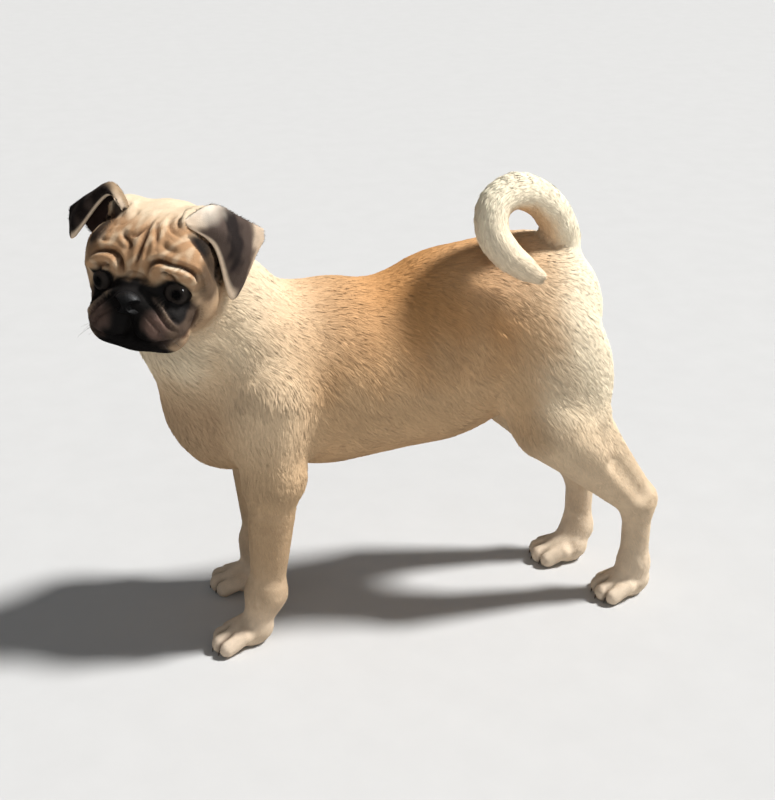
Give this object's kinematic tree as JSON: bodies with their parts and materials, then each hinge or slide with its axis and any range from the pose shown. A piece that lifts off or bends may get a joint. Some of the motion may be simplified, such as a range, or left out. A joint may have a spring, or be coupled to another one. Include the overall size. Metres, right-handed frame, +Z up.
{
  "type": "pug",
  "caption": "Young pug standing on four paws with its head turned to its left and its tail curled over its back, a life-size still model.",
  "frame": {"origin": "middle of the bounding box in plan, at the floor under the paws", "axes": "+Z up; the dog's body lies along X with its chest to -X and its rump to +X; its left side is -Y"},
  "size_m": [0.3574, 0.1314, 0.2964],
  "materials": {
    "fawn": "short fawn coat over skin",
    "cream": "pale cream coat over skin",
    "mask": "thin dark coat of the ears",
    "nose": "damp black nose leather",
    "eye": "wet, very dark brown eye"
  },
  "bodies": {
    "root": {"torso": "fawn", "neck": "cream", "head": "fawn", "nose": "nose", "eye_left": "eye", "eye_right": "eye", "ear_left": "mask", "ear_right": "mask", "tail_root": "cream", "tail_rise": "cream", "tail_curl": "cream", "tail_tip": "cream", "front_leg_left": "fawn", "thigh_left": "fawn", "hind_leg_left": "fawn", "front_paw_left": "cream", "hind_paw_left": "cream", "front_leg_right": "fawn", "thigh_right": "fawn", "hind_leg_right": "fawn", "front_paw_right": "cream", "hind_paw_right": "cream"}
  },
  "joints": []
}
